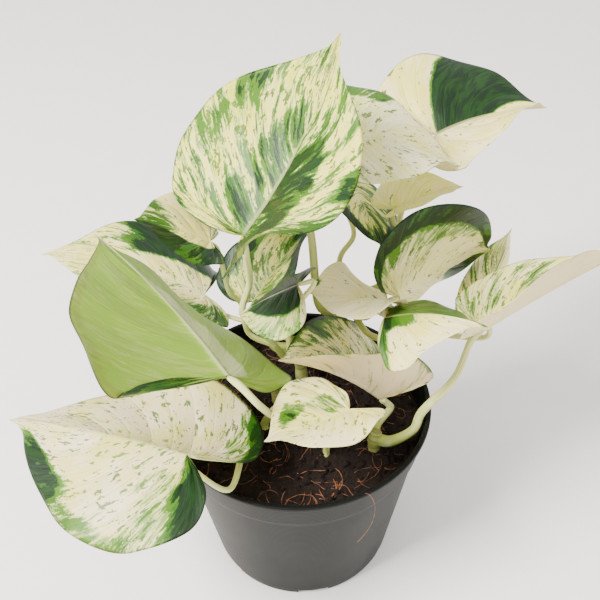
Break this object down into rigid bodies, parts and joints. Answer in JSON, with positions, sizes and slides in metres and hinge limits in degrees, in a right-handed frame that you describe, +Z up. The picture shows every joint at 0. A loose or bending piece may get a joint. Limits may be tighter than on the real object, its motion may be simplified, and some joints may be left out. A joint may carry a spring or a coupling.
{
  "type": "potted pothos plant",
  "caption": "Houseplant with heart-shaped cream and green marbled leaves on curving stalks, growing from soil in a tapered plastic nursery pot.",
  "frame": {"origin": "centre of the pot's flat base, on the surface it stands on", "axes": "+Z straight up along the pot's axis; +X towards the side where the upright right-hand leaves grow; -Y towards the front, where the lowest leaf hangs over the rim"},
  "size_m": [0.2728, 0.2117, 0.2543],
  "materials": {
    "pot_plastic": "satin, moulded, dark grey",
    "soil": "rough, damp potting mix",
    "vine_bark": "matt, green-brown",
    "leaf_stalk": "smooth, pale green",
    "leaf_blade": "waxy, marbled cream and green"
  },
  "bodies": {
    "root": {"pot": "pot_plastic", "soil": "soil", "vine_front": "vine_bark", "vine_left": "vine_bark", "vine_crown": "vine_bark", "vine_right": "vine_bark", "vine_back": "vine_bark", "leaf_low_left": "leaf_blade", "leaf_turned_left": "leaf_blade", "leaf_far_left": "leaf_blade", "leaf_small_left": "leaf_blade", "leaf_crown": "leaf_blade", "leaf_under_crown": "leaf_blade", "leaf_small_centre": "leaf_blade", "leaf_back_right": "leaf_blade", "leaf_back_white": "leaf_blade", "leaf_small_back": "leaf_blade", "leaf_mottled_back": "leaf_blade", "leaf_right": "leaf_blade", "leaf_lower_right": "leaf_blade", "leaf_folded_centre": "leaf_blade", "leaf_small_front": "leaf_blade", "leaf_upright_right": "leaf_blade", "leaf_far_right": "leaf_blade", "leaf_cupped_centre": "leaf_blade", "stalk_low_left": "leaf_stalk", "stalk_turned_left": "leaf_stalk", "stalk_far_left": "leaf_stalk", "stalk_small_left": "leaf_stalk", "stalk_crown": "leaf_stalk", "stalk_under_crown": "leaf_stalk", "stalk_small_centre": "leaf_stalk", "stalk_back_right": "leaf_stalk", "stalk_back_white": "leaf_stalk", "stalk_small_back": "leaf_stalk", "stalk_mottled_back": "leaf_stalk", "stalk_right": "leaf_stalk", "stalk_lower_right": "leaf_stalk", "stalk_folded_centre": "leaf_stalk", "stalk_small_front": "leaf_stalk", "stalk_upright_right": "leaf_stalk", "stalk_far_right": "leaf_stalk", "stalk_cupped_centre": "leaf_stalk"}
  },
  "joints": []
}
